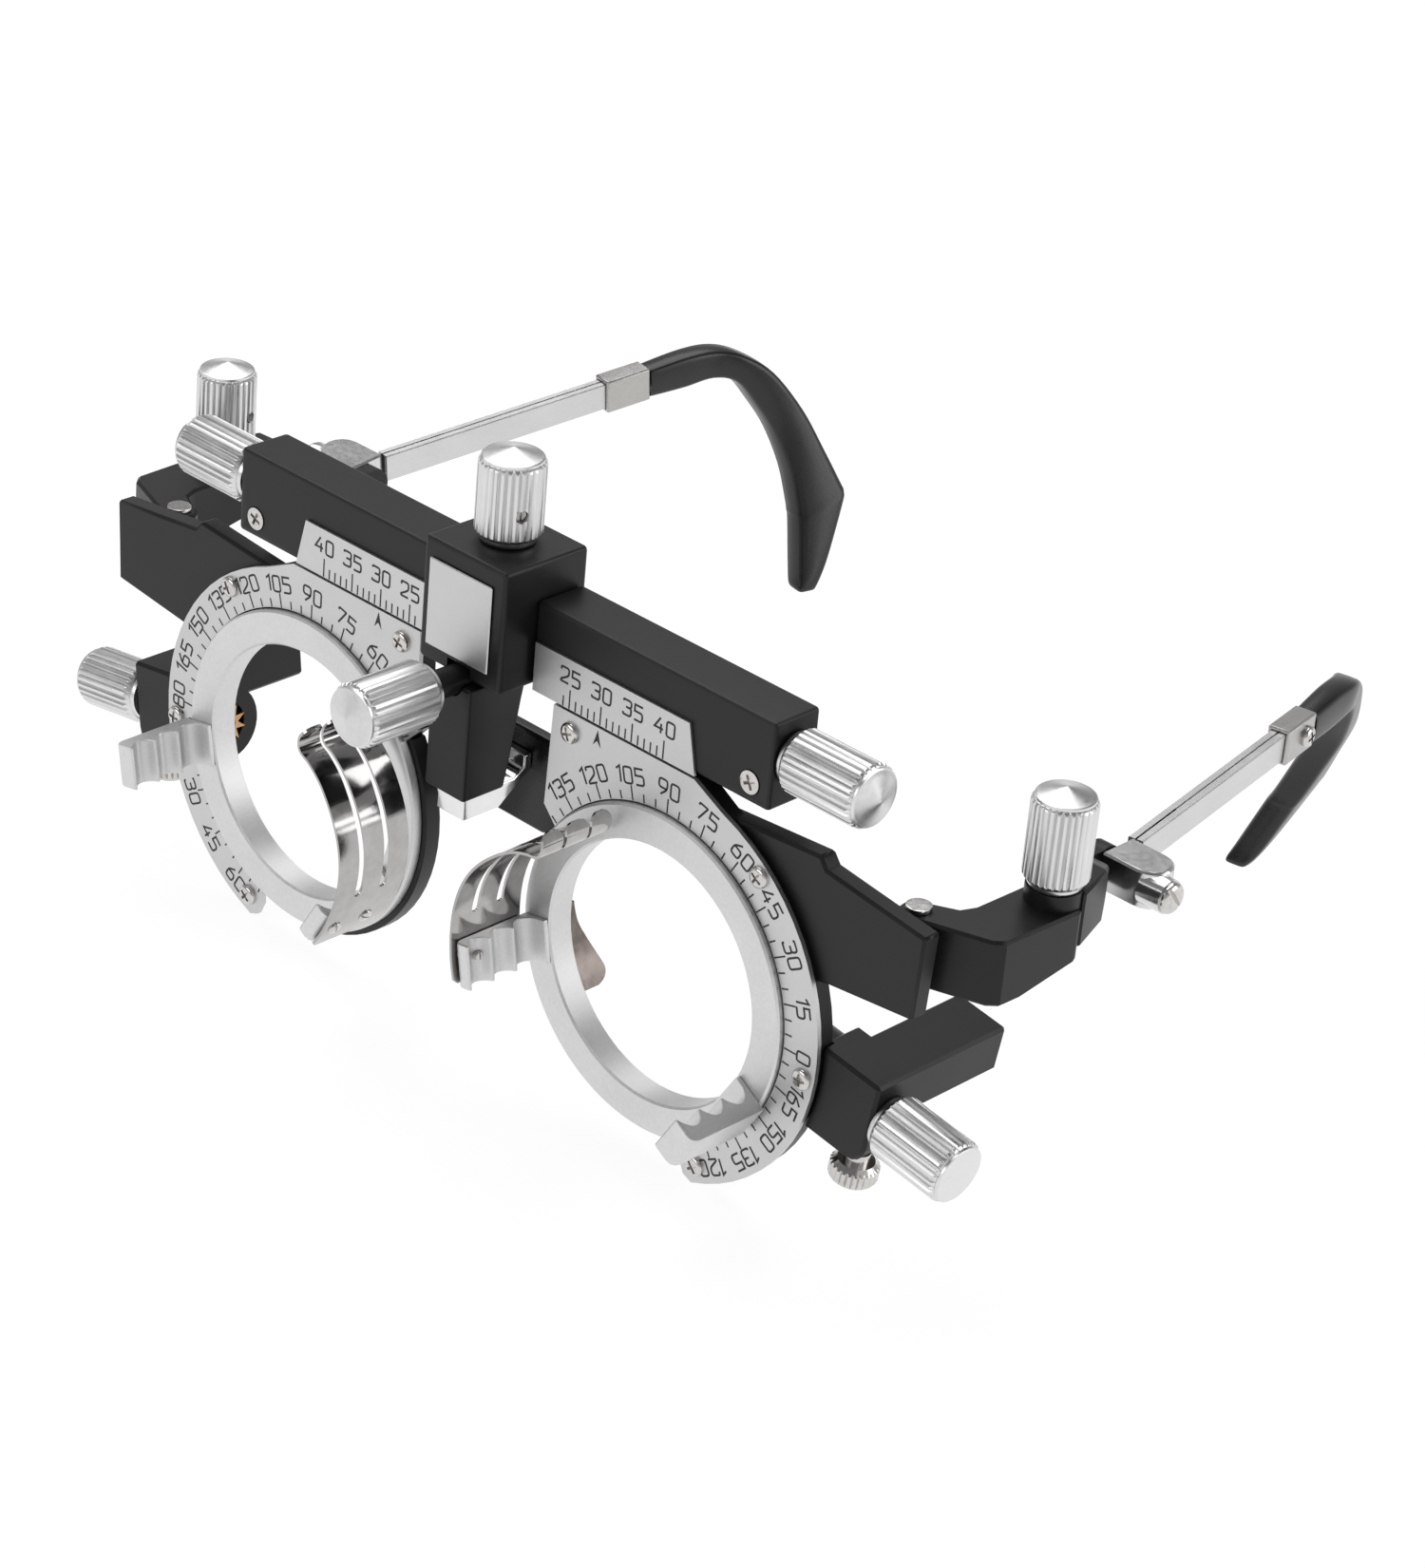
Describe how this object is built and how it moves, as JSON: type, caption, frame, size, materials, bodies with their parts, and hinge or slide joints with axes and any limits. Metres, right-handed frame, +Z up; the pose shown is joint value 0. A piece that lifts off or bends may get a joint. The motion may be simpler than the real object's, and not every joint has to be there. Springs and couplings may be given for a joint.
{
  "type": "optical trial frame",
  "caption": "Adjustable optician's trial frame: black bridge and bars, geared lens rings with degree scales, fluted adjusting knobs, movable nose rest and temples with ear hooks.",
  "frame": {"origin": "middle of the rear of the nose rest, where the frame sits on the nose", "axes": "+X to the object's right as seen from the front, across the face; +Y to the rear, toward the wearer; +Z up"},
  "size_m": [0.1488, 0.1307, 0.0779],
  "materials": {
    "axis_knob_l": "turned and fluted",
    "axis_knob_r": "turned and fluted",
    "bar_l": "satin black",
    "bar_r": "satin black",
    "bar_screw_l": "nickel plated",
    "bar_screw_r": "nickel plated",
    "bridge_badge": "satin",
    "bridge_block": "satin black",
    "ear_hook_l": "satin black",
    "ear_hook_r": "satin black",
    "fold_bracket_l": "satin black",
    "fold_bracket_r": "satin black",
    "gearbox_l": "satin black",
    "gearbox_r": "satin black",
    "hinge_pin_l": "nickel plated",
    "hinge_pin_r": "nickel plated",
    "hook_core_l": "polished",
    "hook_core_r": "polished",
    "lens_carrier_l": "satin black",
    "lens_carrier_r": "satin black",
    "lens_ring_l": "satin turned",
    "lens_ring_r": "satin turned",
    "lock_screw_l": "nickel plated, knurled",
    "lock_screw_r": "nickel plated, knurled",
    "nose_bracket": "polished",
    "nose_carriage": "satin black",
    "nose_depth_knob": "turned and fluted",
    "nose_height_knob": "turned and fluted",
    "nose_rest": "satin black",
    "nose_slider": "satin black",
    "pd_knob_l": "turned and fluted",
    "pd_knob_r": "turned and fluted",
    "pd_scale_l": "satin with engraved scale",
    "pd_scale_r": "satin with engraved scale",
    "pinion_l": "machined",
    "pinion_r": "machined",
    "pivot_screw_l": "nickel plated",
    "pivot_screw_r": "nickel plated",
    "post_a_l": "satin",
    "post_a_r": "satin",
    "post_b_l": "satin",
    "post_b_r": "satin",
    "protractor_l": "satin with engraved degrees",
    "protractor_r": "satin with engraved degrees",
    "rear_spring_l": "polished spring steel",
    "rear_spring_r": "polished spring steel",
    "sleeve_l": "polished",
    "sleeve_r": "polished",
    "sleeve_screw_l": "nickel plated",
    "sleeve_screw_r": "nickel plated",
    "spring_clip_l": "polished spring steel",
    "spring_clip_r": "polished spring steel",
    "temple_mount_l": "polished",
    "temple_mount_r": "polished",
    "temple_rod_l": "polished",
    "temple_rod_r": "polished",
    "tilt_arm_l": "satin black",
    "tilt_arm_r": "satin black",
    "tilt_knob_l": "turned and fluted",
    "tilt_knob_r": "turned and fluted"
  },
  "bodies": {
    "bridge": {"bridge_block": "bridge_block", "bridge_badge": "bridge_badge", "bar_l": "bar_l", "pd_scale_l": "pd_scale_l", "bar_screw_l": "bar_screw_l", "bar_r": "bar_r", "pd_scale_r": "pd_scale_r", "bar_screw_r": "bar_screw_r"},
    "nose_carriage": {"nose_carriage": "nose_carriage"},
    "nose_height_knob": {"nose_height_knob": "nose_height_knob"},
    "nose_depth_knob": {"nose_depth_knob": "nose_depth_knob"},
    "nose_slider": {"nose_slider": "nose_slider", "nose_bracket": "nose_bracket", "nose_rest": "nose_rest"},
    "pd_knob_l": {"pd_knob_l": "pd_knob_l"},
    "carriage_l": {"lens_carrier_l": "lens_carrier_l", "protractor_l": "protractor_l", "gearbox_l": "gearbox_l"},
    "ring_l": {"lens_ring_l": "lens_ring_l", "post_a_l": "post_a_l", "post_b_l": "post_b_l", "spring_clip_l": "spring_clip_l", "rear_spring_l": "rear_spring_l"},
    "axis_knob_l": {"axis_knob_l": "axis_knob_l", "pinion_l": "pinion_l"},
    "lock_screw_l": {"lock_screw_l": "lock_screw_l"},
    "temple_fold_l": {"hinge_pin_l": "hinge_pin_l", "fold_bracket_l": "fold_bracket_l", "tilt_arm_l": "tilt_arm_l"},
    "tilt_knob_l": {"tilt_knob_l": "tilt_knob_l"},
    "temple_l": {"temple_mount_l": "temple_mount_l", "pivot_screw_l": "pivot_screw_l", "temple_rod_l": "temple_rod_l", "sleeve_l": "sleeve_l", "sleeve_screw_l": "sleeve_screw_l"},
    "hook_l": {"hook_core_l": "hook_core_l", "ear_hook_l": "ear_hook_l"},
    "pd_knob_r": {"pd_knob_r": "pd_knob_r"},
    "carriage_r": {"lens_carrier_r": "lens_carrier_r", "protractor_r": "protractor_r", "gearbox_r": "gearbox_r"},
    "ring_r": {"lens_ring_r": "lens_ring_r", "post_a_r": "post_a_r", "post_b_r": "post_b_r", "spring_clip_r": "spring_clip_r", "rear_spring_r": "rear_spring_r"},
    "axis_knob_r": {"axis_knob_r": "axis_knob_r", "pinion_r": "pinion_r"},
    "lock_screw_r": {"lock_screw_r": "lock_screw_r"},
    "temple_fold_r": {"hinge_pin_r": "hinge_pin_r", "fold_bracket_r": "fold_bracket_r", "tilt_arm_r": "tilt_arm_r"},
    "tilt_knob_r": {"tilt_knob_r": "tilt_knob_r"},
    "temple_r": {"temple_mount_r": "temple_mount_r", "pivot_screw_r": "pivot_screw_r", "temple_rod_r": "temple_rod_r", "sleeve_r": "sleeve_r", "sleeve_screw_r": "sleeve_screw_r"},
    "hook_r": {"hook_core_r": "hook_core_r", "ear_hook_r": "ear_hook_r"}
  },
  "joints": [
    {"name": "nose_height", "type": "slide", "parent": "bridge", "child": "nose_carriage", "axis": [0, 0, 1], "range_m": [-0.008, 0]},
    {"name": "nose_height_turn", "type": "hinge", "parent": "bridge", "child": "nose_height_knob", "pos_m": [0, -0.0062, 0.03185], "axis": [0, 0, 1], "range_deg": [-10, 2900]},
    {"name": "nose_depth", "type": "slide", "parent": "nose_carriage", "child": "nose_slider", "axis": [0, 1, 0], "range_m": [0, 0.007]},
    {"name": "nose_depth_turn", "type": "hinge", "parent": "nose_carriage", "child": "nose_depth_knob", "pos_m": [0, -0.0178, 0.0159], "axis": [0, 1, 0], "range_deg": [-2540, 10]},
    {"name": "pd_slide_l", "type": "slide", "parent": "bridge", "child": "carriage_l", "axis": [-1, 0, 0], "range_m": [-0.005, 0.01]},
    {"name": "pd_turn_l", "type": "hinge", "parent": "bridge", "child": "pd_knob_l", "pos_m": [-0.0446, -0.0043, 0.0221], "axis": [-1, 0, 0], "range_deg": [-3620, 1820]},
    {"name": "axis_spin_l", "type": "hinge", "parent": "carriage_l", "child": "ring_l", "pos_m": [-0.03, -0.0077, -0.0107], "axis": [0, 1, 0], "continuous": true},
    {"name": "axis_turn_l", "type": "hinge", "parent": "carriage_l", "child": "axis_knob_l", "pos_m": [-0.06394, -0.0043, -0.01565], "axis": [-0.9895, 0, -0.1444], "continuous": true},
    {"name": "lock_turn_l", "type": "hinge", "parent": "carriage_l", "child": "lock_screw_l", "pos_m": [-0.05952, -0.0043, -0.02238], "axis": [-0.1444, 0, 0.9895], "range_deg": [-360, 360]},
    {"name": "temple_fold_l", "type": "hinge", "parent": "carriage_l", "child": "temple_fold_l", "pos_m": [-0.06217, -0.00182, 0.0061], "axis": [0, 0, -1], "range_deg": [0, 16]},
    {"name": "temple_tilt_l", "type": "hinge", "parent": "temple_fold_l", "child": "temple_l", "pos_m": [-0.06217, 0.0299, 0.0051], "axis": [1, 0, 0], "range_deg": [-20, 7]},
    {"name": "tilt_turn_l", "type": "hinge", "parent": "temple_fold_l", "child": "tilt_knob_l", "pos_m": [-0.06966, 0.01182, 0.0121], "axis": [0, 0, 1], "range_deg": [-810, 290]},
    {"name": "temple_length_l", "type": "slide", "parent": "temple_l", "child": "hook_l", "axis": [0.1736, 0.9785, 0.1115], "range_m": [0, 0.015]},
    {"name": "pd_slide_r", "type": "slide", "parent": "bridge", "child": "carriage_r", "axis": [1, 0, 0], "range_m": [-0.005, 0.01]},
    {"name": "pd_turn_r", "type": "hinge", "parent": "bridge", "child": "pd_knob_r", "pos_m": [0.0446, -0.0043, 0.0221], "axis": [1, 0, 0], "range_deg": [-3620, 1820]},
    {"name": "axis_spin_r", "type": "hinge", "parent": "carriage_r", "child": "ring_r", "pos_m": [0.03, -0.0077, -0.0107], "axis": [0, 1, 0], "continuous": true},
    {"name": "axis_turn_r", "type": "hinge", "parent": "carriage_r", "child": "axis_knob_r", "pos_m": [0.06394, -0.0043, -0.01565], "axis": [0.9895, 0, -0.1444], "continuous": true},
    {"name": "lock_turn_r", "type": "hinge", "parent": "carriage_r", "child": "lock_screw_r", "pos_m": [0.05952, -0.0043, -0.02238], "axis": [0.1444, 0, 0.9895], "range_deg": [-360, 360]},
    {"name": "temple_fold_r", "type": "hinge", "parent": "carriage_r", "child": "temple_fold_r", "pos_m": [0.06217, -0.00182, 0.0061], "axis": [0, 0, 1], "range_deg": [0, 16]},
    {"name": "temple_tilt_r", "type": "hinge", "parent": "temple_fold_r", "child": "temple_r", "pos_m": [0.06217, 0.0299, 0.0051], "axis": [1, 0, 0], "range_deg": [-15, 12]},
    {"name": "tilt_turn_r", "type": "hinge", "parent": "temple_fold_r", "child": "tilt_knob_r", "pos_m": [0.06966, 0.01182, 0.0121], "axis": [0, 0, 1], "range_deg": [-610, 490]},
    {"name": "temple_length_r", "type": "slide", "parent": "temple_r", "child": "hook_r", "axis": [-0.1736, 0.9847, 0.0113], "range_m": [0, 0.015]}
  ],
  "couplings": [
    {"joint": "nose_height_turn", "follows": "nose_height", "rad_per_m": -6283.2},
    {"joint": "nose_depth_turn", "follows": "nose_depth", "rad_per_m": -6283.2},
    {"joint": "pd_turn_l", "follows": "pd_slide_l", "rad_per_m": -6283.2},
    {"joint": "axis_turn_l", "follows": "axis_spin_l", "ratio": 8},
    {"joint": "tilt_turn_l", "follows": "temple_tilt_l", "ratio": 40},
    {"joint": "pd_turn_r", "follows": "pd_slide_r", "rad_per_m": -6283.2},
    {"joint": "axis_turn_r", "follows": "axis_spin_r", "ratio": 8},
    {"joint": "tilt_turn_r", "follows": "temple_tilt_r", "ratio": 40}
  ]
}
